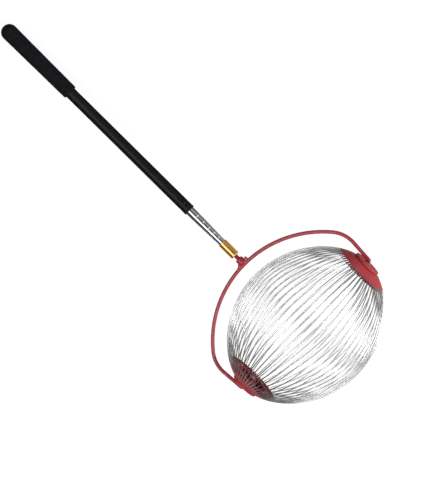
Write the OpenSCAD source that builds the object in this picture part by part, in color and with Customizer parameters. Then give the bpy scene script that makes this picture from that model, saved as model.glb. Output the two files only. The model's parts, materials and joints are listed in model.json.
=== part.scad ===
// Rolling nut gatherer: a cage of bowed spring wires between two domed caps.
// It spins in a bowed yoke on the end of a telescopic pole with a foam grip.
// Millimetres, +Z up. The tool lies on the floor as it is put down, on its cage and on the end
// of its grip. The origin is on the floor under the middle of its outer box. The cage's axle
// lies along X, the head points to -Y, and the pole runs back and slightly down to +Y.

/* [Cage] */
// Number of wires round the cage
wire_count = 64; // [48:8:72]
// Thickness of a wire
wire_d = 1.8; // [1.4:0.1:2]
// Width of the cage over its wires, at the middle
cage_d = 231; // [220:1:240]
// Radius of the bow that each wire follows, on its outside
bow_outer_r = 155; // [150:1:165]

/* [End caps] */
// Diameter of a cap over its slotted lip
cap_d = 97; // [94:1:100]
// How far inside the lip's edge a wire turns into its slot
wire_inset = 1.5; // [1:0.1:2]
// Depth of the slots above the wires' ends
slot_depth = 5; // [4:0.5:6]
// Height of the lip's straight band, from its open edge to the edge of the dome
band_h = 4.7; // [4.2:0.1:5.2]
// Radius of the domed outside
dome_r = 85; // [80:1:95]
// Rise of the dome from its edge to the flat seat of the hub
dome_rise = 10.1; // [9:0.1:11]
// Wall of the dome
cap_wall = 2.2; // [1.8:0.1:2.6]
// Radial width of the toothed ring that the slots are cut in
crown_w = 8.5; // [7:0.5:9]
// Width of the ledge inside the toothed ring, which the wires' ends lie on
ledge_w = 4; // [3.5:0.1:4.5]

/* [Clamp rings] */
// Thickness of the ring that clamps the wires' ends
clamp_t = 2.2; // [1.6:0.1:2.8]
// Radial width of that ring
clamp_w = 11; // [10:0.5:12]
// Screws in each ring
clamp_screws = 4; // [3:1:6]
// Shank diameter of a clamp screw
screw_d = 3; // [2.5:0.1:3.5]
// Head diameter of a clamp screw
screw_head_d = 5.6; // [5:0.1:6]
// Head height of a clamp screw
screw_head_h = 1.8; // [1.4:0.1:2.2]
// Length of a clamp screw under its head
screw_len = 8; // [7:0.5:8.5]
// Outer diameter of the boss that a clamp screw bites into
screw_boss_d = 6.6; // [6:0.1:7]

/* [Hubs] */
// Diameter of the hub's flange
hub_d = 47.4; // [44:0.1:50]
// Height of the hub over the cap's flat seat
hub_h = 5.3; // [4.5:0.1:6]
// Depth of the undercut neck below the flange
hub_neck = 1.9; // [1:0.1:2.5]
// Height of that neck
hub_neck_h = 1.2; // [0.8:0.1:1.6]
// Diameter of the hub's spigot, which passes through the cap
spigot_d = 17; // [15:0.5:19]
// Length of the spigot under the flange
spigot_len = 15; // [14:0.5:17]
// Height of the collar round the spigot, inside the cap
hub_boss_h = 8; // [7:0.5:9]
// Wall of that collar
hub_boss_w = 3.6; // [3:0.2:4]
// Thickness of the spring ring that keeps the spigot in the cap
hub_ring_t = 1.3; // [1:0.1:1.6]

/* [Yoke] */
// Thickness of the yoke's rod, whose two turned-in ends are the axle pins
rod_d = 6.2; // [5.6:0.1:6.6]
// Gap between the cage and the middle of the yoke
yoke_gap = 20.4; // [16:0.2:26]
// Radius of the yoke's two shoulders
shoulder_r = 50; // [44:1:56]
// Angle at which the wide top bow meets a shoulder
shoulder_at = 40; // [36:1:44]
// How far an arm leans in towards its hub
arm_lean = 4; // [2:0.5:6]
// Radius of the bend at the foot of an arm
foot_r = 3.4; // [3.3:0.1:4.5]
// Thickness of the washer between a hub and its arm
washer_t = 0.8; // [0.6:0.1:1.2]
// Diameter of that washer
washer_d = 14; // [12:0.5:18]
// Thickness of the push nut on the end of an axle pin
push_nut_t = 1.2; // [1:0.1:1.6]
// Diameter of the push nut
push_nut_d = 14; // [12:0.5:16]

/* [Boss and brass collar] */
// Diameter of the round boss on top of the yoke
boss_d = 13.4; // [12:0.1:15]
// Height of the boss over the middle of the rod
boss_h = 13.2; // [12:0.2:15]
// Width of the web that flares from the boss into the rod on the left
web_w = 9; // [7:0.5:11]
// Height of that web over the top of the rod
web_h = 5.4; // [4:0.2:6.4]
// Width of the square lug on the right
lug_w = 4.4; // [3:0.2:6]
// Height of that lug over the top of the rod
lug_h = 4.8; // [3:0.2:6]
// Diameter of the threaded stud between boss and collar
stud_d = 7.2; // [6.5:0.1:8]
// Stretch of the stud that shows
stud_show = 6.6; // [4:0.2:9]
// Diameter of the brass collar
collar_d = 15.6; // [15:0.1:17]
// Length of the brass collar
collar_len = 30.1; // [27:0.1:34]
// Part of that length that the stud screws into
collar_thread = 14; // [12:0.5:16]

/* [Telescopic stages] */
// Number of sliding stages
stage_count = 6; // [6:1:6]
// Diameter of the widest stage
stage_d = 15.3; // [15:0.1:15.8]
// How much thinner each stage is than the one before
stage_step = 0.6; // [0.58:0.01:0.62]
// Wall of a stage
stage_wall = 0.2; // [0.18:0.01:0.22]
// Stretch of the widest stage that shows when the pole is closed
show_first = 15.3; // [13:0.1:18]
// How much less of each following stage shows
show_step = 1.25; // [1:0.05:1.4]
// Length of the widest stage
stage_len = 185; // [178:1:200]
// How far each stage slides out before its guide meets the stop
stage_travel = 115; // [95:1:118]

/* [Black tube and grip] */
// Diameter of the black tube
tube_d = 19; // [18.6:0.1:20]
// Wall of the black tube
tube_wall = 1; // [0.8:0.1:1.2]
// Stretch of the black tube, with its nose, between the chrome and the grip
tube_show = 270.5; // [240:0.5:320]
// Height of the nose bush's rounded lip
nose_h = 3; // [2:0.5:4]
// Length of the nose bush inside the tube
nose_len = 22; // [18:1:25]
// How much wider than the tube the nose lip is
nose_over = 0.5; // [0.2:0.1:1]
// Length of the stop that the closed stages come to rest on
stop_len = 15; // [10:1:20]
// Length of the foam grip
grip_len = 151.3; // [130:0.1:180]
// Diameter of the grip at its domed end
grip_d = 27.4; // [26:0.1:30]
// Diameter of the grip where it meets the tube
grip_front_d = 24.7; // [23.5:0.1:26]
// Foam beyond the end of the tube
grip_end = 10; // [8:0.5:12]

/* [Fits] */
// Radial clearance of a running fit
run_clear = 0.03; // [0.02:0.01:0.04]
// Radial clearance of a hub on its axle pin
axle_clear = 0.08; // [0.04:0.01:0.1]
// Clearance of a piece that is seated and doesn't move
seat_clear = 0.05; // [0.03:0.01:0.08]
// Clearance on each side of a wire in its slot
slot_clear = 0.12; // [0.08:0.01:0.2]

/* [Hidden] */
// Fineness of large circles, of small ones and of a wire's section
$fn = 96;
fine = 240;
wire_fn = 36;
// Distance by which a cutting shape overshoots
over = 1;

// Wires, in the plane through the axle: s is measured along the axle, r from it
wire_r = wire_d / 2;
bow_r = bow_outer_r - wire_r;
mid_r = cage_d / 2 - wire_r;
bow_drop = bow_r - mid_r;
cap_r = cap_d / 2;
elbow_r = cap_r - wire_inset;
elbow_s = sqrt(pow(bow_r, 2) - pow(elbow_r + bow_drop, 2));
bow_half_angle = asin(elbow_s / bow_r);
wire_groups = 8;
wires_in_group = wire_count / wire_groups;
wire_pitch = 360 / wire_count;
// Trim of each run before a joint of two runs, and the extra radius of the ball in the joint
seam = 0.2;
ball_over = 0.06;

// Caps
lip_s = elbow_s - slot_depth;
dome_edge_s = lip_s + band_h;
dome_c = dome_edge_s - sqrt(pow(dome_r, 2) - pow(cap_r, 2));
hub_seat_s = dome_edge_s + dome_rise;
ledge_s = elbow_s + wire_r + ball_over + seat_clear;
crown_in_r = cap_r - crown_w;
ledge_r = crown_in_r - ledge_w;
slot_w = wire_d + 2 * slot_clear;
clamp_s = elbow_s - wire_r - seat_clear;
clamp_out_r = crown_in_r - 2 * seat_clear;
screw_boss_r = screw_boss_d / 2;
screw_circle_r = ledge_r - screw_boss_r;
screw_hole_r = screw_d / 2 + seat_clear;

// Hubs
hub_r = hub_d / 2;
hub_face_s = hub_seat_s + hub_h;
hub_edge = 0.8;
spigot_r = spigot_d / 2;
spigot_end_s = hub_seat_s - spigot_len;
hub_boss_s = hub_seat_s - hub_boss_h;
pin_r = rod_d / 2;

// Yoke, in the plane of axle and pole: x along the axle, z along the pole from the axle
rod_r = rod_d / 2;
washer_play = 0.1;
pin_start = hub_face_s + washer_t + 2 * washer_play;
push_nut_s = spigot_end_s - 3 * washer_play;
pin_end = push_nut_s - push_nut_t - 1;
yoke_depth = cage_d / 2 + yoke_gap + rod_r;
foot_x = pin_start + foot_r * cos(arm_lean);
foot_z = foot_r - foot_r * sin(arm_lean);
top_share = (1 - sin(shoulder_at)) / cos(shoulder_at);
shoulder_rise = shoulder_r * (sin(arm_lean) + sin(shoulder_at));
shoulder_in = shoulder_r * (cos(arm_lean) - cos(shoulder_at));
leg = (yoke_depth - foot_z - shoulder_rise - top_share * (foot_x - shoulder_in))
    / (cos(arm_lean) + top_share * sin(arm_lean));
knee_x = foot_x + leg * sin(arm_lean);
knee_z = foot_z + leg * cos(arm_lean);
shoulder_x = knee_x - shoulder_r * cos(arm_lean);
shoulder_z = knee_z + shoulder_r * sin(arm_lean);
top_r = (shoulder_x + shoulder_r * cos(shoulder_at)) / cos(shoulder_at);
top_z = yoke_depth - top_r;
rod_seam = 0.3;
rod_ball_over = 0.1;

// Pole, measured from the axle
boss_top = yoke_depth + boss_h;
boss_r = boss_d / 2;
stud_r = stud_d / 2;
stud_base = yoke_depth + rod_r + 2;
collar_z = boss_top + stud_show;
collar_top = collar_z + collar_len;
function stage_od(k) = stage_d - (k - 1) * stage_step;
function stage_show(k) = show_first - (k - 1) * show_step;
function shown_past(k) = k >= stage_count ? 0 : stage_show(k + 1) + shown_past(k + 1);
function stage_front(k) = k == stage_count ? collar_z + collar_thread + seat_clear
    : collar_top + shown_past(k);
tube_front = collar_top + shown_past(0);
lip_len = 3;
crimp_len = 2;
crimp_depth = 0.5;
seat_gap = 0.2;
stop_gap = 0.5;
function stage_rear(k) = k == 1 ? stage_front(1) + stage_len
    : stage_rear(k - 1) - crimp_len - seat_gap;
tube_r = tube_d / 2;
tube_bore_r = tube_r - tube_wall;
grip_front = tube_front + tube_show;
grip_r = grip_d / 2;
grip_far = grip_front + grip_len - grip_r;
plug_h = 2;
tube_rear = grip_front + grip_len - grip_end - plug_h;

// How the tool lies: two wires and the end of the grip touch the floor
cage_h = mid_r * cos(wire_pitch / 2) + wire_r;
slope = asin((cage_h - grip_r) / grip_far);
cage_y = (cage_h - grip_far * cos(slope) - grip_r) / 2;

// Colours
red_plastic = [0.74, 0.14, 0.16];
red_paint = [0.78, 0.22, 0.28];
chrome = [0.80, 0.81, 0.83];
steel = [0.72, 0.73, 0.75];
brass = [0.84, 0.64, 0.24];
black = [0.08, 0.08, 0.09];
foam = [0.13, 0.13, 0.14];
nylon = [0.30, 0.30, 0.32];

// Points on an arc round (cx, cy), from angle a0 to a1
function arc(cx, cy, r, a0, a1, n = 10) =
    [for (i = [0:n]) let (a = a0 + (a1 - a0) * i / n) [cx + r * cos(a), cy + r * sin(a)]];

// The axle's own frame at the cage: +Z along the axle, +X straight down
module on_axle() {
    translate([0, cage_y, cage_h]) rotate([0, 90, 0]) children();
}

// The pole's own frame at the cage: +Z along the pole, +X along the axle
module on_pole() {
    translate([0, cage_y, cage_h]) rotate([-slope, 0, 0]) rotate([-90, 0, 0]) children();
}

// A ring or a tube between two heights
module tube(r_out, r_in, z0, z1) {
    translate([0, 0, z0]) difference() {
        cylinder(r = r_out, h = z1 - z0);
        translate([0, 0, -over]) cylinder(r = r_in, h = z1 - z0 + 2 * over);
    }
}

// A round bar bent to an arc in the XZ plane, cut short by trim at each end
module bent_bar(cx, cz, bend_r, bar_r, a0, a1, trim, bar_fn = 48) {
    cut = trim / bend_r * 180 / PI;
    translate([cx, 0, cz]) rotate([90, 0, 0]) rotate([0, 0, a0 + cut])
        rotate_extrude(angle = a1 - a0 - 2 * cut, $fn = fine)
            translate([bend_r, 0]) circle(r = bar_r, $fn = bar_fn);
}

// One wire in the plane y = 0 of the axle's frame, bowed out and turned in at both caps
module wire() {
    leg_in_r = ledge_r + seat_clear;
    bent_bar(-bow_drop, 0, bow_r, wire_r, -bow_half_angle, bow_half_angle, seam, wire_fn);
    for (side = [-1, 1]) {
        translate([elbow_r, 0, side * elbow_s]) sphere(r = wire_r + ball_over, $fn = wire_fn);
        translate([leg_in_r, 0, side * elbow_s]) rotate([0, 90, 0])
            cylinder(r = wire_r, h = elbow_r - seam - leg_in_r, $fn = wire_fn);
    }
}

// One eighth of the wires; two wires of the cage straddle the lowest point
module wire_group(g) {
    first = (g - 1) * wires_in_group;
    color(steel) on_axle() for (i = [first:first + wires_in_group - 1])
        rotate([0, 0, (i + 0.5) * wire_pitch]) wire();
}

// Half section of a cap: dome, toothed ring, ledge and collar, before the slots
module cap_section() {
    difference() {
        intersection() {
            translate([0, dome_c]) circle(r = dome_r, $fn = fine);
            translate([spigot_r + seat_clear, lip_s])
                square([cap_r - spigot_r - seat_clear, hub_seat_s - lip_s]);
        }
        intersection() {
            translate([0, dome_c]) circle(r = dome_r - cap_wall, $fn = fine);
            translate([0, lip_s - over]) square([ledge_r, hub_seat_s - cap_wall - lip_s + over]);
        }
        translate([0, lip_s - over]) square([crown_in_r, ledge_s - lip_s + over]);
    }
    translate([spigot_r + seat_clear, hub_boss_s])
        square([hub_boss_w, hub_boss_h - cap_wall / 2]);
}

// Places for the clamp screws, between the wires' planes
module at_screws() {
    for (i = [0:clamp_screws - 1]) rotate([0, 0, (i + 0.5) * 360 / clamp_screws])
        translate([screw_circle_r, 0, 0]) children();
}

// The cap on the axle's +Z side
module cap() {
    boss_s = clamp_s + seat_clear;
    difference() {
        union() {
            rotate_extrude($fn = fine) cap_section();
            intersection() {
                at_screws() translate([0, 0, boss_s])
                    cylinder(r = screw_boss_r, h = hub_seat_s - cap_wall / 2 - boss_s, $fn = 48);
                translate([0, 0, dome_c]) sphere(r = dome_r - cap_wall / 2, $fn = fine);
            }
        }
        for (i = [0:wire_count - 1]) rotate([0, 0, (i + 0.5) * wire_pitch])
            translate([crown_in_r - over, -slot_w / 2, lip_s - over])
                cube([crown_w + 2 * over, slot_w, ledge_s - lip_s + over]);
        at_screws() translate([0, 0, clamp_s - over])
            cylinder(r = screw_hole_r, h = screw_len - clamp_t + over + seat_clear, $fn = 48);
    }
}

// The ring that clamps the wires' ends on the ledge
module clamp_ring() {
    difference() {
        tube(clamp_out_r, clamp_out_r - clamp_w, clamp_s - clamp_t, clamp_s);
        at_screws() translate([0, 0, clamp_s - clamp_t - over])
            cylinder(r = screw_hole_r, h = clamp_t + 2 * over, $fn = 48);
    }
}

// The screws of one clamp ring, heads towards the middle of the cage
module clamp_screw_set() {
    at_screws() {
        head_s = clamp_s - clamp_t - screw_head_h;
        translate([0, 0, head_s]) cylinder(r = screw_head_d / 2, h = screw_head_h, $fn = 48);
        translate([0, 0, head_s + screw_head_h / 2])
            cylinder(r = screw_d / 2, h = screw_len + screw_head_h / 2, $fn = 48);
    }
}

// The flanged hub, which turns on the axle pin
module hub() {
    bore_r = pin_r + axle_clear;
    rotate_extrude() polygon([
        [bore_r, spigot_end_s], [spigot_r, spigot_end_s], [spigot_r, hub_seat_s],
        [hub_r - hub_neck, hub_seat_s], [hub_r - hub_neck, hub_seat_s + hub_neck_h],
        [hub_r - hub_edge / 2, hub_seat_s + hub_neck_h],
        [hub_r, hub_seat_s + hub_neck_h + hub_edge / 2],
        [hub_r, hub_face_s - hub_edge], [hub_r - hub_edge, hub_face_s],
        [bore_r, hub_face_s]]);
}

// The spring ring on the spigot, against the collar inside the cap
module hub_ring() {
    ring_s = hub_boss_s - seat_clear;
    tube(spigot_r + seat_clear + hub_boss_w, spigot_r + seat_clear, ring_s - hub_ring_t, ring_s);
}

// The pieces of the left side mirror those of the right
module on_side(side) {
    on_axle() mirror([0, 0, side == "left" ? 1 : 0]) children();
}

module left_cap() { color(red_plastic) on_side("left") cap(); }
module right_cap() { color(red_plastic) on_side("right") cap(); }
module left_hub() { color(red_plastic) on_side("left") hub(); }
module right_hub() { color(red_plastic) on_side("right") hub(); }
module left_hub_ring() { color(steel) on_side("left") hub_ring(); }
module right_hub_ring() { color(steel) on_side("right") hub_ring(); }
module left_clamp_ring() { color(red_plastic) on_side("left") clamp_ring(); }
module right_clamp_ring() { color(red_plastic) on_side("right") clamp_ring(); }
module left_clamp_screws() { color(steel) on_side("left") clamp_screw_set(); }
module right_clamp_screws() { color(steel) on_side("right") clamp_screw_set(); }

// The washer between a hub and its arm
module washer() {
    washer_s = hub_face_s + washer_play;
    tube(washer_d / 2, rod_r + rod_ball_over + seat_clear, washer_s, washer_s + washer_t);
}

// The push nut that keeps a hub on its pin
module push_nut() {
    tube(push_nut_d / 2, pin_r + seat_clear, push_nut_s - push_nut_t, push_nut_s);
}

module left_washer() { color(steel) on_side("left") washer(); }
module right_washer() { color(steel) on_side("right") washer(); }
module left_push_nut() { color(steel) on_side("left") push_nut(); }
module right_push_nut() { color(steel) on_side("right") push_nut(); }

// One arm of the yoke on the +X side: shoulder, leg, foot and axle pin
module yoke_arm() {
    bent_bar(shoulder_x, shoulder_z, shoulder_r, rod_r, -arm_lean, shoulder_at, rod_seam);
    rod_ball(shoulder_x + shoulder_r * cos(shoulder_at), shoulder_z + shoulder_r * sin(shoulder_at),
        -shoulder_at);
    rod_ball(knee_x, knee_z, arm_lean);
    translate([foot_x, 0, foot_z]) rotate([0, arm_lean, 0]) translate([0, 0, rod_seam])
        cylinder(r = rod_r, h = leg - 2 * rod_seam, $fn = 48);
    rod_ball(foot_x, foot_z, arm_lean);
    bent_bar(pin_start, foot_r, foot_r, rod_r, -90, -arm_lean, rod_seam);
    rod_ball(pin_start, 0, 90);
    translate([pin_end, 0, 0]) rotate([0, 90, 0])
        cylinder(r = pin_r, h = pin_start - rod_seam - pin_end, $fn = 96);
}

// The ball that joins two runs of the rod, with its poles along the rod
module rod_ball(x, z, lean) {
    translate([x, 0, z]) rotate([0, lean, 0]) sphere(r = rod_r + rod_ball_over, $fn = 48);
}

// The boss: a round post with a flared web on its left and a square lug on its right
module boss() {
    edge_w = 1.8;
    edge_h = 1.2;
    bite = 0.4;
    plate_t = rod_r * 1.6;
    root = yoke_depth + rod_r * 0.6;
    top = yoke_depth + rod_r;
    steps = 8;
    dip = 1;
    rotate_extrude() polygon([
        [0, yoke_depth], [boss_r, yoke_depth], [boss_r, boss_top - edge_h],
        [boss_r - edge_w, boss_top], [stud_r + seat_clear, boss_top],
        [stud_r + seat_clear, stud_base], [0, stud_base]]);
    translate([0, plate_t / 2, 0]) rotate([90, 0, 0]) linear_extrude(height = plate_t) {
        polygon(concat(
            [[bite - boss_r, root], [bite - boss_r, top + web_h]],
            [for (i = [0:steps]) let (f = i / steps)
                [-boss_r - web_w * f, top + web_h * pow(1 - f, 2) - dip * f]],
            [[-boss_r - web_w, root]]));
        translate([boss_r - bite, root])
            square([lug_w + bite, top + lug_h - root]);
    }
}

module yoke() {
    color(red_paint) on_pole() {
        bent_bar(0, top_z, top_r, rod_r, shoulder_at, 180 - shoulder_at, rod_seam);
        yoke_arm();
        mirror([1, 0, 0]) yoke_arm();
        boss();
    }
}

module yoke_stud() {
    stud_base_z = stud_base + seat_clear;
    color(red_paint) on_pole() translate([0, 0, stud_base_z])
        cylinder(r = stud_r, h = collar_z + collar_thread - 1 - stud_base_z);
}

module brass_collar() {
    edge = 0.8;
    r = collar_d / 2;
    color(brass) on_pole() rotate_extrude() polygon([
        [stud_r + seat_clear, collar_z], [r - edge, collar_z], [r, collar_z + edge],
        [r, collar_top - edge], [r - edge, collar_top],
        [stage_od(stage_count) / 2 + seat_clear, collar_top],
        [stage_od(stage_count) / 2 + seat_clear, collar_z + collar_thread],
        [stud_r + seat_clear, collar_z + collar_thread]]);
}

// A stage: rolled lip in front, running flare and crimped seat at the rear
module stage_tube(k) {
    z0 = stage_front(k);
    z1 = stage_rear(k);
    r_out = stage_od(k) / 2;
    r_in = r_out - stage_wall;
    next_r = stage_od(k + 1) / 2;
    lip_r = k == stage_count ? r_in - stage_wall / 2 : next_r + run_clear;
    flare = k == 1 ? stage_wall / 8 : stage_step / 2 - stage_wall - run_clear;
    flare_z = k == 1 ? z1 - lip_len : stage_front(k - 1) + lip_len + stage_travel + stop_gap;
    color(chrome) on_pole() rotate_extrude() polygon([
        [lip_r, z0], [r_out - 0.1, z0], [r_out, z0 + 0.1],
        [r_out, flare_z], [r_out + flare, flare_z + flare * 4], [r_out + flare, z1],
        [next_r - crimp_depth, z1], [next_r - crimp_depth, z1 - crimp_len],
        [r_in, z1 - crimp_len], [r_in, z0 + lip_len], [lip_r, z0 + lip_len]]);
}

module stage_tube_1() { stage_tube(1); }
module stage_tube_2() { stage_tube(2); }
module stage_tube_3() { stage_tube(3); }
module stage_tube_4() { stage_tube(4); }
module stage_tube_5() { stage_tube(5); }
module stage_tube_6() { stage_tube(6); }

module guide_sleeve() {
    z0 = tube_front + nose_h + nose_len + stage_travel + stop_gap;
    color(nylon) on_pole()
        tube(tube_bore_r - run_clear, stage_d / 2 + seat_clear, z0, stage_rear(1));
}

module stage_stop() {
    z0 = stage_rear(1) + seat_gap;
    color(nylon) on_pole() tube(tube_bore_r - seat_clear / 2, tube_bore_r / 2, z0, z0 + stop_len);
}

module nose_bush() {
    r = tube_r + nose_over / 2;
    round_r = nose_h / 2;
    spigot = tube_bore_r - seat_clear / 2;
    bore = stage_d / 2 + run_clear;
    color(black) on_pole() rotate_extrude() polygon(concat(
        [[bore, tube_front]],
        arc(r - round_r, tube_front + round_r, round_r, 270, 360, 6),
        [[r, tube_front + nose_h], [spigot, tube_front + nose_h],
         [spigot, tube_front + nose_h + nose_len], [bore, tube_front + nose_h + nose_len]]));
}

module outer_tube() {
    color(black) on_pole() tube(tube_r, tube_bore_r, tube_front + nose_h, tube_rear);
}

module tube_end_plug() {
    plug_len = 14;
    color(black) on_pole() rotate_extrude() polygon([
        [0, tube_rear - plug_len], [tube_bore_r - seat_clear / 2, tube_rear - plug_len],
        [tube_bore_r - seat_clear / 2, tube_rear], [tube_r, tube_rear],
        [tube_r, tube_rear + plug_h], [0, tube_rear + plug_h]]);
}

module foam_grip() {
    bore = tube_r + seat_clear / 2;
    edge = 1.2;
    r0 = grip_front_d / 2;
    color(foam) on_pole() rotate_extrude() polygon(concat(
        [[bore, grip_front], [r0 - edge, grip_front], [r0, grip_front + edge]],
        arc(0, grip_far, grip_r, 0, 90, 16),
        [[0, tube_rear + plug_h], [bore, tube_rear + plug_h]]));
}

foam_grip();
tube_end_plug();
outer_tube();
nose_bush();
stage_stop();
stage_tube_1();
guide_sleeve();
stage_tube_2();
stage_tube_3();
stage_tube_4();
stage_tube_5();
stage_tube_6();
brass_collar();
yoke_stud();
yoke();
left_washer();
right_washer();
left_push_nut();
right_push_nut();
left_cap();
right_cap();
left_hub();
right_hub();
left_hub_ring();
right_hub_ring();
left_clamp_ring();
right_clamp_ring();
left_clamp_screws();
right_clamp_screws();
wire_group(1);  // cage_wires_1
wire_group(2);  // cage_wires_2
wire_group(3);  // cage_wires_3
wire_group(4);  // cage_wires_4
wire_group(5);  // cage_wires_5
wire_group(6);  // cage_wires_6
wire_group(7);  // cage_wires_7
wire_group(8);  // cage_wires_8
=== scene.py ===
"""Rolling nut gatherer: a finished surface for every piece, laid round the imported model.

Every piece is worked out with numpy in millimetres, in one of two frames of the model. In the axle
frame z runs along the axle to the right and x points straight down. In the pole frame z runs from
the axle along the pole to the grip and x runs along the axle to the right.
"""
import json
import math

import bpy
import numpy as np
from mathutils import Matrix, Vector

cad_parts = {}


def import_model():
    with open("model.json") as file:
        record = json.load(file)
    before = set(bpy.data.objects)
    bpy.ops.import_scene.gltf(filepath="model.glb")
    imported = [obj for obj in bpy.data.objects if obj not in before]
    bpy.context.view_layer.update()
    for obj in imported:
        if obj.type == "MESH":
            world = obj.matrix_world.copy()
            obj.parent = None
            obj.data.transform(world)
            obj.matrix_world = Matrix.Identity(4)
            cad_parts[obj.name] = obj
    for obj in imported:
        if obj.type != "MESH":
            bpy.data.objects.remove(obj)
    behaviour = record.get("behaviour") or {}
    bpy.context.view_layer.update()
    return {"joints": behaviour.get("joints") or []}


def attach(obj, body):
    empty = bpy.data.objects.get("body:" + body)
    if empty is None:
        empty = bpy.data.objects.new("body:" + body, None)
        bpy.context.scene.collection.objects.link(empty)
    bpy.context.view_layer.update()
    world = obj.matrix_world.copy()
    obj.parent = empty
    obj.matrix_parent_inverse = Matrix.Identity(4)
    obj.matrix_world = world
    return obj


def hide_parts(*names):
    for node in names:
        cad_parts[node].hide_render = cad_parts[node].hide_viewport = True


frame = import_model()

MM = 0.001
TAU = 2 * math.pi

# The two frames, from the model's own joints
JOINTS = {joint["name"]: joint for joint in frame["joints"]}
AXLE_POINT = np.array(JOINTS["cage_spin"]["pos_m"])
AXLE = np.array(JOINTS["cage_spin"]["axis"], float)
TO_HEAD = np.array(JOINTS["head_slide"]["axis"], float)
TO_GRIP = -TO_HEAD / np.linalg.norm(TO_HEAD)
POLE_SIDE = np.cross(TO_GRIP, AXLE)
SLOPE = math.asin(-TO_GRIP[2])
DOWN = np.array([0.0, 0.0, -1.0])
ALONG_Y = np.array([0.0, 1.0, 0.0])

# Cage
WIRE_COUNT = 64
WIRE_GROUPS = 8
WIRE_R = 0.9
CAGE_R = 115.5
BOW_R = 154.1
MID_R = CAGE_R - WIRE_R
BOW_DROP = BOW_R - MID_R
WIRE_PITCH = TAU / WIRE_COUNT

# End caps: s is measured along the axle from the middle of the cage
CAP_R = 48.5
ELBOW_R = CAP_R - 1.5
ELBOW_S = math.sqrt(BOW_R**2 - (ELBOW_R + BOW_DROP) ** 2)
LIP_S = ELBOW_S - 5
DOME_EDGE_S = LIP_S + 4.7
DOME_R = 85
DOME_C = DOME_EDGE_S - math.sqrt(DOME_R**2 - CAP_R**2)
HUB_SEAT_S = DOME_EDGE_S + 10.1
CAP_WALL = 2.2
LEDGE_S = ELBOW_S + WIRE_R + 0.11
CROWN_IN_R = CAP_R - 8.5
LEDGE_R = CROWN_IN_R - 4
SLOT_HALF = WIRE_R + 0.12

# Clamp rings
CLAMP_T = 2.2
CLAMP_W = 11
CLAMP_S = ELBOW_S - WIRE_R - 0.05
CLAMP_SCREWS = 4
SCREW_R = 1.5
SCREW_HEAD_R = 2.8
SCREW_HEAD_H = 1.8
SCREW_LEN = 8
SCREW_BOSS_R = 3.3
SCREW_CIRCLE_R = LEDGE_R - SCREW_BOSS_R

# Hubs
HUB_R = 23.7
HUB_H = 5.3
HUB_FACE_S = HUB_SEAT_S + HUB_H
HUB_NECK_R = HUB_R - 1.9
HUB_NECK_H = 1.2
SPIGOT_R = 8.5
SPIGOT_END_S = HUB_SEAT_S - 15
HUB_BOSS_S = HUB_SEAT_S - 8
HUB_BOSS_R = SPIGOT_R + 0.05 + 3.6

# Yoke
ROD_R = 3.1
YOKE_DEPTH = CAGE_R + 20.4 + ROD_R
WASHER_T = 0.8
WASHER_R = 7
PLAY = 0.1
PIN_START = HUB_FACE_S + WASHER_T + 2 * PLAY
PUSH_NUT_S = SPIGOT_END_S - 3 * PLAY
PUSH_NUT_T = 1.2
PUSH_NUT_R = 7
PIN_END = PUSH_NUT_S - PUSH_NUT_T - 1
ARM_LEAN = math.radians(4)
SHOULDER_AT = math.radians(40)
SHOULDER_R = 50
FOOT_R = 3.4

# Boss, stud and collar
BOSS_R = 6.7
BOSS_TOP = YOKE_DEPTH + 13.2
BOSS_EDGE_W = 1.8
BOSS_EDGE_H = 1.2
WEB_W = 9
WEB_H = 5.4
LUG_W = 4.4
LUG_H = 4.8
STUD_R = 3.6
STUD_PITCH = 1.0
COLLAR_R = 7.8
COLLAR_Z = BOSS_TOP + 6.6
COLLAR_TOP = COLLAR_Z + 30.1
COLLAR_THREAD = 14

# Telescopic stages
STAGE_COUNT = 6
STAGE_D = 15.3
STAGE_STEP = 0.6
STAGE_WALL = 0.2
STAGE_LEN = 185
SHOW_FIRST = 15.3
SHOW_STEP = 1.25
STAGE_TRAVEL = 115
LIP_SLOPE = math.tan(math.radians(30))

# Black tube and grip
TUBE_R = 9.5
TUBE_WALL = 1
NOSE_H = 3
NOSE_LEN = 22
NOSE_R = TUBE_R + 0.25
GROOVE_Z = 13.8
GROOVE_HALF = 0.9
GROOVE_DEPTH = 0.3
TUBE_SHOW = 270.5
GRIP_LEN = 151.3
GRIP_R = 13.7
GRIP_FRONT_R = 12.35
GRIP_END = 10
PLUG_H = 2
STOP_LEN = 15


def stage_r(k):
    """Outer radius of stage k; the widest is 1 and the thinnest 6."""
    return (STAGE_D - (k - 1) * STAGE_STEP) / 2


def stage_front(k):
    """Where stage k starts when the pole is closed: past what shows of the thinner stages."""
    if k == STAGE_COUNT:
        return COLLAR_Z + COLLAR_THREAD + 0.05
    return COLLAR_TOP + sum(SHOW_FIRST - (i - 1) * SHOW_STEP for i in range(k + 1, STAGE_COUNT + 1))


def stage_rear(k):
    """Where stage k ends; each ends a little inside the one round it."""
    return stage_front(1) + STAGE_LEN - (k - 1) * 2.2


TUBE_FRONT = stage_front(1) + SHOW_FIRST
GRIP_FRONT = TUBE_FRONT + TUBE_SHOW
GRIP_FAR = GRIP_FRONT + GRIP_LEN - GRIP_R
TUBE_REAR = GRIP_FRONT + GRIP_LEN - GRIP_END - PLUG_H


def on_axle(p, side=1):
    """Axle frame to the model's metres; side -1 mirrors the piece to the left end."""
    return (AXLE_POINT + MM * (p[..., 2:3] * side * AXLE + p[..., 0:1] * DOWN
                               + p[..., 1:2] * ALONG_Y))


def on_pole(p):
    """Pole frame to the model's metres."""
    return (AXLE_POINT + MM * (p[..., 0:1] * AXLE + p[..., 1:2] * POLE_SIDE
                               + p[..., 2:3] * TO_GRIP))


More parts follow.
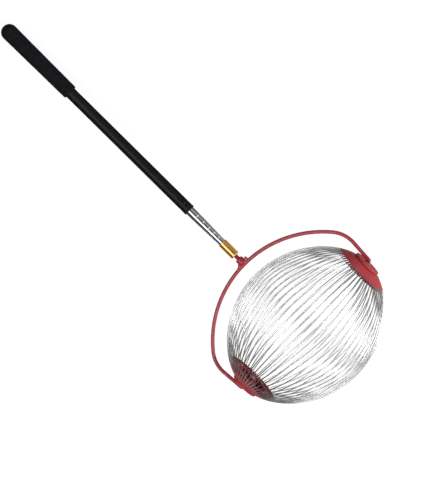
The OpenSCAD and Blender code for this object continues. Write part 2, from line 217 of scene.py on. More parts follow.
def rounded(corners, steps=5):
    """An outline from its corners (a, b, radius): each corner is an arc that touches its sides.

    The arc's centre lies on the bisector of the corner, radius / sin(half angle) from it, and the
    arc touches each side radius / tan(half angle) from the corner.
    """
    points = []
    for i, (a, b, radius) in enumerate(corners):
        corner = np.array([a, b], float)
        if radius == 0:
            points.append(corner[None])
            continue
        back = np.array(corners[i - 1][:2], float) - corner
        ahead = np.array(corners[(i + 1) % len(corners)][:2], float) - corner
        back /= np.linalg.norm(back)
        ahead /= np.linalg.norm(ahead)
        half = math.acos(np.clip(back @ ahead, -1, 1)) / 2
        middle = (back + ahead) / np.linalg.norm(back + ahead)
        centre = corner + middle * radius / math.sin(half)
        start = corner + back * radius / math.tan(half) - centre
        end = corner + ahead * radius / math.tan(half) - centre
        first = math.atan2(start[1], start[0])
        turn = (math.atan2(end[1], end[0]) - first + math.pi) % TAU - math.pi
        t = first + turn * np.linspace(0, 1, steps + 1)
        points.append(centre + radius * np.stack([np.cos(t), np.sin(t)], 1))
    return np.concatenate(points)


def arc(a, b, radius, start, end, steps):
    """Points on an arc round (a, b), from one angle in degrees to another."""
    t = np.radians(np.linspace(start, end, steps + 1))
    return np.stack([a + radius * np.cos(t), b + radius * np.sin(t)], 1)


def quads(rows, columns, wrap_rows, wrap_columns):
    """The faces of a grid of points, numbered row by row."""
    i = np.arange(rows if wrap_rows else rows - 1)[:, None]
    j = np.arange(columns if wrap_columns else columns - 1)[None]
    i1, j1 = (i + 1) % rows, (j + 1) % columns
    return np.stack([i * columns + j, i * columns + j1, i1 * columns + j1, i1 * columns + j],
                    -1).reshape(-1, 4)


def shell(grid, wrap_rows=False, wrap_columns=True):
    """A closed surface from a grid of points, whose faces are turned to point outwards.

    Where the rows don't wrap, the first and the last row are closed with a point at their middle.
    """
    rows, columns = grid.shape[:2]
    points = grid.reshape(-1, 3)
    faces = [tuple(f) for f in quads(rows, columns, wrap_rows, wrap_columns).tolist()]
    if not wrap_rows:
        ends = np.stack([grid[0].mean(0), grid[-1].mean(0)])
        first, last = len(points), len(points) + 1
        points = np.concatenate([points, ends])
        j = np.arange(columns)
        j1 = (j + 1) % columns
        faces += [(first, int(b), int(a)) for a, b in zip(j, j1)]
        offset = (rows - 1) * columns
        faces += [(last, int(a) + offset, int(b) + offset) for a, b in zip(j, j1)]
    return points, faces


def volume_sign(points, faces):
    """The sign of the enclosed volume: the sum of the corner products of each face's triangles."""
    total = 0.0
    for count in (3, 4):
        ring = np.array([f for f in faces if len(f) == count])
        if len(ring):
            p = points[ring] - points.mean(0)
            for k in range(1, count - 1):
                total += np.einsum("ij,ij->i", p[:, 0], np.cross(p[:, k], p[:, k + 1])).sum()
    return 1 if total >= 0 else -1


def revolved(outline, turns=96, closed=True):
    """An outline (radius, z) carried round the z axis; an open one starts and ends on the axis."""
    angle = TAU * np.arange(turns) / turns
    r, z = outline[:, 0][:, None], outline[:, 1][:, None]
    grid = np.stack([r * np.cos(angle), r * np.sin(angle), z + 0 * angle], -1)
    return shell(grid, wrap_rows=closed)


def tube(path, normals, binormal, radius, sides=24):
    """A round bar along a path: each section is a circle in the plane of normal and binormal."""
    angle = TAU * np.arange(sides) / sides
    radius = np.broadcast_to(radius, len(path))[:, None, None]
    ring = (np.cos(angle)[None, :, None] * normals[:, None, :]
            + np.sin(angle)[None, :, None] * binormal[None, None, :])
    return shell(path[:, None, :] + radius * ring)


def piece(name, shells, place, body, material, replaces=(), sharp=35):
    """One object from closed shells: placed in the model, smooth but for its sharp edges."""
    points, faces, start = [], [], 0
    for p, f in shells:
        world = place(p)
        if volume_sign(world, f) < 0:
            f = [face[::-1] for face in f]
        points.append(world)
        faces += [tuple(i + start for i in face) for face in f]
        start += len(p)
    mesh = bpy.data.meshes.new(name)
    mesh.from_pydata(np.concatenate(points).tolist(), [], faces)
    mesh.polygons.foreach_set("use_smooth", np.ones(len(mesh.polygons), bool))
    mesh.set_sharp_from_angle(angle=math.radians(sharp))
    mesh.materials.append(material)
    obj = bpy.data.objects.new(name, mesh)
    bpy.context.scene.collection.objects.link(obj)
    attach(obj, body)
    if replaces:
        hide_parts(*replaces)
    return obj


# Materials

class Nodes:
    """A short way to add and join the nodes of one tree."""

    def __init__(self, tree):
        self.tree = tree
        self.tree.nodes.clear()

    def add(self, kind, inputs=None, **settings):
        node = self.tree.nodes.new(kind)
        for key, value in settings.items():
            setattr(node, key, value)
        for key, value in (inputs or {}).items():
            if isinstance(value, bpy.types.NodeSocket):
                self.tree.links.new(value, node.inputs[key])
            else:
                node.inputs[key].default_value = value
        return node

    def math(self, operation, a, b=0.0, clamp=False):
        return self.add("ShaderNodeMath", {0: a, 1: b}, operation=operation,
                        use_clamp=clamp).outputs[0]

    def span(self, value, low, high, to_low=0.0, to_high=1.0):
        return self.add("ShaderNodeMapRange", {"Value": value, "From Min": low, "From Max": high,
                                               "To Min": to_low, "To Max": to_high}).outputs[0]

    def blend(self, mask, a, b):
        node = self.add("ShaderNodeMix", data_type="RGBA")
        for socket, value in ((node.inputs[0], mask), (node.inputs[6], a), (node.inputs[7], b)):
            if isinstance(value, bpy.types.NodeSocket):
                self.tree.links.new(value, socket)
            else:
                socket.default_value = value
        return node.outputs[2]


def new_group(name, inputs, outputs):
    """A shader node group with named inputs (name, default) and outputs (name, kind)."""
    tree = bpy.data.node_groups.new(name, "ShaderNodeTree")
    kinds = {"value": "NodeSocketFloat", "colour": "NodeSocketColor", "vector": "NodeSocketVector"}
    for label, kind, default in inputs:
        socket = tree.interface.new_socket(label, in_out="INPUT", socket_type=kinds[kind])
        socket.default_value = default
    for label, kind in outputs:
        tree.interface.new_socket(label, in_out="OUTPUT", socket_type=kinds[kind])
    n = Nodes(tree)
    return n, n.add("NodeGroupInput").outputs, n.add("NodeGroupOutput").inputs


def make_mottle():
    """Cloudy colour and gloss: a soft noise that moves a colour a little lighter and darker."""
    n, given, out = new_group(
        "mottle", [("Vector", "vector", (0, 0, 0)), ("Colour", "colour", (1, 1, 1, 1)),
                   ("Scale", "value", 40.0), ("Amount", "value", 0.1),
                   ("Roughness", "value", 0.4), ("Gloss change", "value", 0.06)],
        [("Colour", "colour"), ("Roughness", "value")])
    noise = n.add("ShaderNodeTexNoise", {"Vector": given["Vector"], "Scale": given["Scale"],
                                         "Detail": 4.0, "Roughness": 0.6}).outputs["Fac"]
    swing = n.span(noise, 0.3, 0.7, -1.0, 1.0)
    value = n.math("ADD", n.math("MULTIPLY", swing, given["Amount"]), 1.0)
    tinted = n.add("ShaderNodeHueSaturation", {"Color": given["Colour"], "Value": value})
    change = n.math("MULTIPLY", swing, given["Gloss change"])
    n.tree.links.new(tinted.outputs[0], out["Colour"])
    n.tree.links.new(n.math("ADD", given["Roughness"], change), out["Roughness"])
    return n.tree


def make_grain():
    """A fine bump from noise: its height, for a Bump node of the material."""
    n, given, out = new_group(
        "grain", [("Vector", "vector", (0, 0, 0)), ("Scale", "value", 900.0),
                  ("Detail", "value", 2.0)], [("Height", "value")])
    noise = n.add("ShaderNodeTexNoise", {"Vector": given["Vector"], "Scale": given["Scale"],
                                         "Detail": given["Detail"]}).outputs["Fac"]
    n.tree.links.new(noise, out["Height"])
    return n.tree


def make_rubs():
    """Sparse thin scratches and rubbed spots: a mask from stretched noise above a threshold."""
    n, given, out = new_group(
        "rubs", [("Vector", "vector", (0, 0, 0)), ("Scale", "value", 60.0),
                 ("Threshold", "value", 0.66)], [("Mask", "value")])
    noise = n.add("ShaderNodeTexNoise", {"Vector": given["Vector"], "Scale": given["Scale"],
                                         "Detail": 6.0, "Roughness": 0.7,
                                         "Distortion": 0.4}).outputs["Fac"]
    above = n.math("SUBTRACT", noise, given["Threshold"])
    n.tree.links.new(n.math("MULTIPLY", above, 14.0, clamp=True), out["Mask"])
    return n.tree


GROUPS = {"mottle": make_mottle(), "grain": make_grain(), "rubs": make_rubs()}


def use(n, group, inputs):
    """Places a shared group in a material with its own values."""
    node = n.add("ShaderNodeGroup")
    node.node_tree = GROUPS[group]
    for key, value in inputs.items():
        if isinstance(value, bpy.types.NodeSocket):
            n.tree.links.new(value, node.inputs[key])
        else:
            node.inputs[key].default_value = value
    return node.outputs


def new_material(name):
    material = bpy.data.materials.new(name)
    material.use_nodes = True
    n = Nodes(material.node_tree)
    where = n.add("ShaderNodeTexCoord").outputs["Object"]
    surface = n.add("ShaderNodeBsdfPrincipled")
    output = n.add("ShaderNodeOutputMaterial")
    n.tree.links.new(surface.outputs[0], output.inputs[0])
    return material, n, where, surface


def finish(name, colour, metal, roughness, amount, scale, grain, grain_depth, rub=None,
           stretch=None, gloss_change=0.05, coat=0.0, threshold=0.68, shine=0.5, edge=1.0,
           painted_shade=None):
    """A material: mottled colour and gloss, a fine bump, and where rub is a colour, rubbed spots.

    stretch scales the pole's own directions (across, along, across) before the fine bump. shine
    is the strength of a painted or moulded surface's reflections, edge the tint of a metal's rim.
    painted_shade is (from, to, share): a painted shade, for which between these two distances from
    the middle of the axle, in metres, the colour falls to that share.
    """
    material, n, where, surface = new_material(name)
    mottled = use(n, "mottle", {"Vector": where, "Colour": (*colour, 1), "Scale": scale,
                                "Amount": amount, "Roughness": roughness,
                                "Gloss change": gloss_change})
    shade = mottled["Colour"]
    if rub is not None:
        worn = use(n, "rubs", {"Vector": where, "Scale": scale * 2, "Threshold": threshold})
        shade = n.blend(worn["Mask"], shade, (*rub, 1))
    # Painted shade: the colour darkens with the distance along the axle, where shade would fall.
    if painted_shade is not None:
        start, end, share = painted_shade
        along = n.add("ShaderNodeSeparateXYZ", {0: where}).outputs["X"]
        ends = n.span(n.math("ABSOLUTE", along), start, end)
        shade = n.blend(ends, shade, (*(share * part for part in colour), 1))
    fine = where
    if stretch is not None:
        turned = n.add("ShaderNodeMapping", {"Vector": where, "Rotation": (SLOPE, 0, 0)})
        fine = n.add("ShaderNodeMapping", {"Vector": turned.outputs[0],
                                           "Scale": stretch}).outputs[0]
    height = use(n, "grain", {"Vector": fine, "Scale": grain})["Height"]
    bump = n.add("ShaderNodeBump", {"Height": height, "Strength": 1.0, "Distance": grain_depth})
    n.tree.links.new(shade, surface.inputs["Base Color"])
    n.tree.links.new(mottled["Roughness"], surface.inputs["Roughness"])
    n.tree.links.new(bump.outputs[0], surface.inputs["Normal"])
    surface.inputs["Metallic"].default_value = metal
    surface.inputs["Coat Weight"].default_value = coat
    surface.inputs["Coat Roughness"].default_value = 0.12
    surface.inputs["Specular IOR Level"].default_value = shine
    surface.inputs["Specular Tint"].default_value = (edge, edge, edge, 1)
    return material


FOAM = finish("black_foam", (0.008, 0.008, 0.0105), 0, 0.92, 0.4, 150, 1500, 0.00035,
              rub=(0.021, 0.021, 0.025), threshold=0.6, shine=0.1)
BLACK_COAT = finish("black_powder_coat", (0.004, 0.004, 0.006), 0, 0.38, 0.4, 90, 1400, 0.00003,
                    shine=0.16)
BLACK_PLASTIC = finish("black_plastic", (0.005, 0.005, 0.006), 0, 0.45, 0.15, 120, 900, 0.00003,
                       shine=0.2)
NYLON = finish("grey_nylon", (0.3, 0.3, 0.31), 0, 0.5, 0.06, 120, 700, 0.00003)
CHROME = finish("chrome_tube", (0.6, 0.605, 0.615), 1, 0.13, 0.05, 90, 400, 0.00001,
                stretch=(1, 0.05, 1), gloss_change=0.05, edge=0.0)
BRASS = finish("turned_brass", (0.8, 0.43, 0.13), 1, 0.27, 0.08, 90, 1800, 0.00001,
               stretch=(0.02, 1, 0.02), rub=(0.5, 0.27, 0.07), threshold=0.7)
RED_PAINT = finish("red_enamel", (0.38, 0.02, 0.04), 0, 0.25, 0.12, 60, 500, 0.00004,
                   rub=(0.3, 0.02, 0.03), threshold=0.7, shine=0.5)
# Painted shade: the red plastic nearer the middle than the dome's edge, the toothed collar and the
# clamp ring, is painted at half its colour for the shade among the teeth.
RED_PLASTIC = finish("red_plastic", (0.46, 0.054, 0.063), 0, 0.55, 0.12, 50, 600, 0.00004,
                     rub=(0.32, 0.04, 0.045), threshold=0.68, shine=0.12,
                     painted_shade=((DOME_EDGE_S + 1) * MM, (DOME_EDGE_S - 1) * MM, 0.5))
# Painted shade and reflection: the wires fall to 0.72 of their colour towards their ends by the caps,
# for the darker reflections there.
WIRE = finish("bright_spring_wire", (0.7, 0.7, 0.71), 1, 0.2, 0.1, 70, 900, 0.00001,
              gloss_change=0.08, rub=(0.42, 0.41, 0.4), threshold=0.68, edge=0.4,
              painted_shade=(0.075, 0.11, 0.72))
ZINC = finish("zinc_steel", (0.34, 0.34, 0.35), 1, 0.38, 0.1, 200, 900, 0.00001, edge=0.2)


# Cage wires

def wire_line():
    """One wire in its own plane, as (radius, s): the bow, a small elbow and the leg, each side."""
    half = math.asin(ELBOW_S / BOW_R) - 0.012
    t = np.linspace(0, half, 42)
    bow = np.stack([BOW_R * np.cos(t) - BOW_DROP, BOW_R * np.sin(t)], 1)
    outer = rounded([(*bow[-1], 0), (ELBOW_R, ELBOW_S, 1.6), (LEDGE_R + 0.3, ELBOW_S, 0)], 7)
    right = np.concatenate([bow, outer[1:]])
    left = right[1:][::-1] * (1, -1)
    return np.concatenate([left, right])


def cage_wires():
    """Each group of neighbouring wires is one piece; no two wires are bent quite alike.

    A wire's plane turns by its pitch. Its middle leans sideways and sits in by a random share of
    a millimetre, which fades to nothing at the caps as cos(quarter turn * s / elbow s).
    """
    line = wire_line()
    fade = np.cos(np.clip(line[:, 1] / ELBOW_S, -1, 1) * math.pi / 2)
    slack = np.random.default_rng(11).uniform(-1, 1, (WIRE_COUNT, 2))
    step = np.gradient(line, axis=0)
    step /= np.linalg.norm(step, axis=1)[:, None]
    for group in range(WIRE_GROUPS):
        shells = []
        for i in range(group * WIRE_COUNT // WIRE_GROUPS, (group + 1) * WIRE_COUNT // WIRE_GROUPS):
            angle = (i + 0.5) * WIRE_PITCH
            out = np.array([math.cos(angle), math.sin(angle), 0])
            across = np.array([-math.sin(angle), math.cos(angle), 0])
            along = np.array([0, 0, 1.0])
            lean, inset = slack[i] * (0.7, 0.35)
            radius = line[:, 0] - fade * (0.35 + inset)
            path = (radius[:, None] * out + line[:, 1:] * along + (fade * lean)[:, None] * across)
            normals = step[:, 1:] * out - step[:, :1] * along
            shells.append(tube(path, normals, across, WIRE_R, 14))
        name = f"wires_{group + 1}"
        piece(name, shells, on_axle, "cage", WIRE, [f"cage_{name}"])


# End caps

def cap_sections():
    """The cap's section on a tooth and in a slot, point for point, from the hub's hole outwards.

    Both share the collar, the dome and the ledge. Between the ledge and the dome the tooth goes
    down its inner wall, along the lip and up its outer wall, while the slot runs straight.
    """
    inner_r = DOME_R - CAP_WALL
    seat_in = HUB_SEAT_S - CAP_WALL
    seat_angle_in = math.degrees(math.asin((seat_in - DOME_C) / inner_r))
    edge_angle_in = math.degrees(math.acos(LEDGE_R / inner_r))
    hole_r = SPIGOT_R + 0.05
    inner = np.concatenate([
        rounded([(hole_r, HUB_BOSS_S, 0.3), (HUB_BOSS_R, HUB_BOSS_S, 0.4),
                 (HUB_BOSS_R, seat_in, 0.6), (inner_r * math.cos(math.radians(seat_angle_in)),
                                              seat_in, 0), (hole_r, HUB_SEAT_S, 0)], 3)[:-1],
        arc(0, DOME_C, inner_r, seat_angle_in, edge_angle_in, 5)[1:],
        [[LEDGE_R, LEDGE_S], [CROWN_IN_R - 0.6, LEDGE_S]]])
    slot_end_r = math.sqrt(DOME_R**2 - (LEDGE_S - DOME_C) ** 2)
    tooth = rounded([(CROWN_IN_R, LEDGE_S, 0), (CROWN_IN_R, LIP_S, 0.5), (CAP_R, LIP_S, 0.5),
                     (CAP_R, DOME_EDGE_S, 1.2), (slot_end_r, LEDGE_S, 0)], 4)
    share = np.linspace(0, 1, len(tooth))[:, None]
    slot = (1 - share) * [[CROWN_IN_R, LEDGE_S]] + share * [[slot_end_r, LEDGE_S]]
    end_angle = math.degrees(math.acos(slot_end_r / DOME_R))
    seat_angle = math.degrees(math.asin((HUB_SEAT_S - DOME_C) / DOME_R))
    seat_r = DOME_R * math.cos(math.radians(seat_angle))
    outer = np.concatenate([arc(0, DOME_C, DOME_R, end_angle, seat_angle - 0.4, 12)[1:],
                            [[seat_r - 0.7, HUB_SEAT_S], [hole_r, HUB_SEAT_S]]])
    return inner, tooth, slot, outer


def cap_shell():
    """The toothed cap: its section is carried round in columns, ten to a slot and a tooth.

    A slot's walls are parallel: a column at a distance w from the middle of the slot turns by
    asin(w / radius). The first columns of a tooth have its section drawn in, as
    f - sqrt(f^2 - (f - w)^2), which rounds its edges by f.
    """
    inner, tooth, slot, outer = cap_sections()
    edge = 0.35
    middle = tooth.mean(0)
    columns = []
    for w, inset in ((0, None), (SLOT_HALF, None), (SLOT_HALF, edge),
                     (SLOT_HALF + 0.3 * edge, edge - edge * math.sqrt(1 - 0.7**2)),
                     (SLOT_HALF + edge, 0)):
        part = slot if inset is None else np.clip(
            tooth, [CROWN_IN_R + inset, LIP_S + inset], [CAP_R - inset, LEDGE_S])
        section = np.concatenate([inner, part, outer])
        reach = np.clip(section[:, 0], CROWN_IN_R, middle[0] + 3)
        columns.append((section, np.arcsin(w / reach)))
    half_pitch = WIRE_PITCH / 2
    ladder = columns + [(columns[-1][0], np.full(len(columns[-1][0]), half_pitch))]
    ladder += [(s, 2 * half_pitch - a) for s, a in columns[:0:-1]]
    grid = []
    for i in range(WIRE_COUNT):
        for section, angle in ladder:
            turn = angle + (i + 0.5) * WIRE_PITCH
            grid.append(np.stack([section[:, 0] * np.cos(turn), section[:, 0] * np.sin(turn),
                                  section[:, 1]], 1))
    return shell(np.array(grid), wrap_rows=True)


def moved(made, dx, dy):
    """A shell moved sideways in its own frame."""
    return made[0] + [dx, dy, 0], made[1]


def at_screws():
    """The middles of the clamp screws, between the wires' planes."""
    for i in range(CLAMP_SCREWS):
        angle = (i + 0.5) * TAU / CLAMP_SCREWS
        yield SCREW_CIRCLE_R * math.cos(angle), SCREW_CIRCLE_R * math.sin(angle)


def caps(side_name, side):
    def place(p):
        return on_axle(p, side)

    boss = revolved(rounded([(SCREW_R + 0.05, CLAMP_S + 0.05, 0), (SCREW_BOSS_R, CLAMP_S + 0.05, 0.3),
                             (SCREW_BOSS_R, HUB_SEAT_S - CAP_WALL - 2.2, 0),
                             (SCREW_R + 0.05, HUB_SEAT_S - CAP_WALL - 2.2, 0)], 3), 32)
    shells = [cap_shell()] + [moved(boss, x, y) for x, y in at_screws()]
    piece(f"{side_name}_domed_cap", shells, place, "cage", RED_PLASTIC,
          [f"{side_name}_cap"])


def hubs(side_name, side):
    def place(p):
        return on_axle(p, side)

    bore = ROD_R + 0.08
    outline = rounded([
        (bore, SPIGOT_END_S, 0.4), (SPIGOT_R, SPIGOT_END_S, 0.5), (SPIGOT_R, HUB_SEAT_S, 0),
        (HUB_NECK_R, HUB_SEAT_S, 0), (HUB_NECK_R, HUB_SEAT_S + HUB_NECK_H, 0.3),
        (HUB_R, HUB_SEAT_S + HUB_NECK_H, 0.5), (HUB_R, HUB_FACE_S, 1.2),
        (WASHER_R + 3, HUB_FACE_S, 0), (WASHER_R + 2.4, HUB_FACE_S - 0.4, 0),
        (WASHER_R + 1.6, HUB_FACE_S - 0.4, 0), (WASHER_R + 1, HUB_FACE_S, 0),
        (bore, HUB_FACE_S, 0.3)], 5)
    piece(f"{side_name}_flanged_hub", [revolved(outline, 128)], place, "cage",
          RED_PLASTIC, [f"{side_name}_hub"])


def ring_outline(r_in, r_out, z0, z1, edge):
    """A ring's section with all four edges rounded alike."""
    return rounded([(r_in, z0, edge), (r_out, z0, edge), (r_out, z1, edge), (r_in, z1, edge)], 4)


def screw_shell():
    """A pan-head screw, head towards the middle of the cage, with a cross recess in the head.

    The head's face is a shallow dome. A point of it sinks where it lies within the half width of
    one arm of the cross, less towards the arms' ends.
    """
    base = CLAMP_S - CLAMP_T
    top = base - SCREW_HEAD_H
    turns = 48
    angle = TAU * np.arange(turns) / turns
    face_r = np.concatenate([np.linspace(0.12, 1.9, 14), np.linspace(2.1, SCREW_HEAD_R - 0.35, 3)])
    radius, turn = np.meshgrid(face_r, angle, indexing="ij")
    x, y = radius * np.cos(turn), radius * np.sin(turn)
    near = np.minimum(np.abs(x), np.abs(y))
    sunk = 1.1 * np.clip((0.42 - near) / 0.12, 0, 1) * np.clip((1.85 - radius) / 0.35, 0, 1)
    z = top + 0.35 * (radius / SCREW_HEAD_R) ** 2 + sunk
    face = np.stack([x, y, z], -1)
    side = np.concatenate([
        arc(SCREW_HEAD_R - 0.35, top + 0.62, 0.35, -90, 0, 4)[1:],
        [[SCREW_HEAD_R, base], [SCREW_R, base], [SCREW_R, base + SCREW_LEN - 1],
         [SCREW_R * 0.4, base + SCREW_LEN]]])
    body = np.stack([side[:, :1] * np.cos(angle), side[:, :1] * np.sin(angle),
                     side[:, 1:] + 0 * angle], -1)
    return shell(np.concatenate([face, body]))


def cap_fittings(side_name, side):
    def place(p):
        return on_axle(p, side)

    clamp_out = CROWN_IN_R - 0.1
    ring = revolved(ring_outline(clamp_out - CLAMP_W, clamp_out, CLAMP_S - CLAMP_T, CLAMP_S, 0.4),
                    160)
    piece(f"{side_name}_wire_clamp", [ring], place, "cage", RED_PLASTIC,
          [f"{side_name}_clamp_ring"])
    screws = [moved(screw_shell(), x, y) for x, y in at_screws()]
    piece(f"{side_name}_pan_screws", screws, place, "cage", ZINC,
          [f"{side_name}_clamp_screws"])
    ring_s = HUB_BOSS_S - 0.05
    keeper = revolved(ring_outline(SPIGOT_R + 0.05, HUB_BOSS_R, ring_s - 1.3, ring_s, 0.35), 96)
    piece(f"{side_name}_spring_ring", [keeper], place, "cage", ZINC,
          [f"{side_name}_hub_ring"])
    washer_s = HUB_FACE_S + PLAY
    washer = revolved(ring_outline(ROD_R + 0.15, WASHER_R, washer_s, washer_s + WASHER_T, 0.25), 96)
    piece(f"{side_name}_flat_washer", [washer], place, "head", ZINC,
          [f"{side_name}_washer"])
    dished = rounded([(ROD_R + 0.05, PUSH_NUT_S - PUSH_NUT_T, 0.2),
                      (ROD_R + 1.6, PUSH_NUT_S - PUSH_NUT_T, 0.3),
                      (PUSH_NUT_R, PUSH_NUT_S - 0.45, 0.15), (PUSH_NUT_R, PUSH_NUT_S, 0.15),
                      (ROD_R + 1.9, PUSH_NUT_S - 0.55, 0.3),
                      (ROD_R + 0.05, PUSH_NUT_S - 0.55, 0.1)], 4)
    piece(f"{side_name}_push_on_nut", [revolved(dished, 64)], place, "head", ZINC,
          [f"{side_name}_push_nut"])


# Yoke

def yoke_line():
    """Half of the rod's middle line as (x, z) with its tangent, from the top to the pin's tip.

    A wide arc meets the shoulder's arc, then a straight leg leans in, and the foot bends to the
    pin. Each run starts in the direction in which the one before it ends.
    """
    foot_x = PIN_START + FOOT_R * math.cos(ARM_LEAN)
    foot_z = FOOT_R - FOOT_R * math.sin(ARM_LEAN)
    share = (1 - math.sin(SHOULDER_AT)) / math.cos(SHOULDER_AT)
    rise = SHOULDER_R * (math.sin(ARM_LEAN) + math.sin(SHOULDER_AT))
    inward = SHOULDER_R * (math.cos(ARM_LEAN) - math.cos(SHOULDER_AT))
    leg = ((YOKE_DEPTH - foot_z - rise - share * (foot_x - inward))
           / (math.cos(ARM_LEAN) + share * math.sin(ARM_LEAN)))
    knee_x = foot_x + leg * math.sin(ARM_LEAN)
    knee_z = foot_z + leg * math.cos(ARM_LEAN)
    shoulder_x = knee_x - SHOULDER_R * math.cos(ARM_LEAN)
    shoulder_z = knee_z + SHOULDER_R * math.sin(ARM_LEAN)
    top_r = (shoulder_x + SHOULDER_R * math.cos(SHOULDER_AT)) / math.cos(SHOULDER_AT)
    at = math.degrees(SHOULDER_AT)
    lean = math.degrees(ARM_LEAN)
    top = arc(0, YOKE_DEPTH - top_r, top_r, 90, at, 60)
    shoulder = arc(shoulder_x, shoulder_z, SHOULDER_R, at, -lean, 30)[1:]
    foot = arc(PIN_START, FOOT_R, FOOT_R, -lean, -90, 14)
    legs = np.linspace(shoulder[-1], foot[0], 12)[1:-1]
    pin = np.linspace([PIN_START, 0], [PIN_END + 0.6, 0], 6)[1:]
    return np.concatenate([top, shoulder, legs, foot, pin])


def rod_shell():
    """The whole rod: a circle carried along the line and its mirror image, with rounded tips."""
    half = yoke_line()
    line = np.concatenate([(half * (-1, 1))[:0:-1], half])
    step = np.gradient(line, axis=0)
    step /= np.linalg.norm(step, axis=1)[:, None]
    radius = np.full(len(line), ROD_R)
    tip = np.radians([30.0, 60.0, 85.0])
    tips = [line[-1] + step[-1] * 0.6 * math.sin(a) for a in tip]
    radii = [ROD_R - 0.6 + 0.6 * math.cos(a) for a in tip]
    tips_left = [p * (-1, 1) for p in tips]
    line = np.concatenate([tips_left[::-1], line, tips])
    step = np.concatenate([[step[0]] * 3, step, [step[-1]] * 3])
    radius = np.concatenate([radii[::-1], radius, radii])
    path = np.stack([line[:, 0], 0 * line[:, 0], line[:, 1]], 1)
    normals = np.stack([-step[:, 1], 0 * step[:, 0], step[:, 0]], 1)
    return tube(path, normals, np.array([0.0, 1.0, 0.0]), radius, 40)


def post_shell():
    """The boss's round post: narrow where it sinks into the rod, its top edge a soft chamfer."""
    foot = YOKE_DEPTH + 4.5
    z = np.concatenate([np.linspace(YOKE_DEPTH - 1.2, foot, 14),
                        np.linspace(foot, BOSS_TOP - BOSS_EDGE_H, 6)[1:]])
    sink = np.clip((foot - z) / 5.7, 0, 1)
    half_x = np.full(len(z), float(BOSS_R))
    half_y = BOSS_R - (BOSS_R - ROD_R * 0.8) * sink**2 * (3 - 2 * sink)
    edge = rounded([(BOSS_R, BOSS_TOP - BOSS_EDGE_H, 0.5), (BOSS_R - BOSS_EDGE_W, BOSS_TOP, 0.5),
                    (STUD_R + 0.3, BOSS_TOP, 0), (STUD_R, BOSS_TOP - 0.4, 0),
                    (BOSS_R, BOSS_TOP - 4, 0)], 4)[:-1]
    half_x = np.concatenate([half_x[:-1], edge[:, 0]])
    half_y = np.concatenate([half_y[:-1], edge[:, 0]])
    z = np.concatenate([z[:-1], edge[:, 1]])
    turn = TAU * np.arange(64) / 64
    return shell(np.stack([half_x[:, None] * np.cos(turn), half_y[:, None] * np.sin(turn),
                           z[:, None] + 0 * turn], -1))


def fin_shell(x, top, half_y, power):
    """A fin on the rod: at each x its section is |y / half_y|^power + |z / top|^power = 1."""
    turn = TAU * np.arange(40) / 40
    c, s = np.cos(turn), np.sin(turn)
    y = np.sign(c) * np.abs(c) ** (2 / power) * half_y[:, None]
    z = np.sign(s) * np.abs(s) ** (2 / power)
    z = YOKE_DEPTH + np.where(z > 0, z * top[:, None], z * 1.2)
    return shell(np.stack([x[:, None] + 0 * turn, y, z], -1))


def weld_shells():
    """The web, whose top falls away as a parabola along the rod, and the square lug."""
    f = np.linspace(0, 1, 22)
    web_top = ROD_R + WEB_H * (1 - f) ** 2 - f
    web = fin_shell(-BOSS_R + 0.6 - (WEB_W + 0.6) * f, web_top, 2.9 - 0.7 * f, 2.4)
    end = np.sin(np.radians([0, 30, 55, 75, 90]))
    x = np.concatenate([[BOSS_R - 0.8, BOSS_R + 2], BOSS_R + LUG_W - 0.7 + 0.7 * end])
    inset = np.concatenate([[0, 0], 0.7 * (1 - np.sqrt(1 - end**2))])
    lug = fin_shell(x, ROD_R + LUG_H - inset, 2.5 - inset, 7)
    return [web, lug]


def yoke():
    piece("bowed_yoke", [rod_shell(), post_shell(), *weld_shells()], on_pole, "head",
          RED_PAINT, ["yoke"])


def stud():
    """The threaded stud: its radius falls and rises once a pitch along a helix."""
    z = np.arange(YOKE_DEPTH + ROD_R + 2.1, COLLAR_Z + COLLAR_THREAD - 1, STUD_PITCH / 8)
    turn = TAU * np.arange(48) / 48
    phase = z[:, None] / STUD_PITCH - turn / TAU
    depth = 0.42 * np.abs(2 * (phase % 1) - 1)
    grid = np.stack([(STUD_R - depth) * np.cos(turn), (STUD_R - depth) * np.sin(turn),
                     z[:, None] + 0 * turn], -1)
    piece("threaded_stud", [shell(grid)], on_pole, "head", RED_PAINT, ["yoke_stud"])


def collar():
    r = COLLAR_R
    outline = rounded([
        (STUD_R + 0.05, COLLAR_Z, 0.2), (r, COLLAR_Z, 1.5), (r, COLLAR_TOP, 1.5),
        (stage_r(STAGE_COUNT) + 0.05, COLLAR_TOP, 0.3),
        (stage_r(STAGE_COUNT) + 0.05, COLLAR_Z + COLLAR_THREAD, 0),
        (STUD_R + 0.05, COLLAR_Z + COLLAR_THREAD, 0)], 8)
    piece("turned_brass_collar", [revolved(outline, 128)], on_pole, "head", BRASS,
          ["brass_collar"])


# Pole

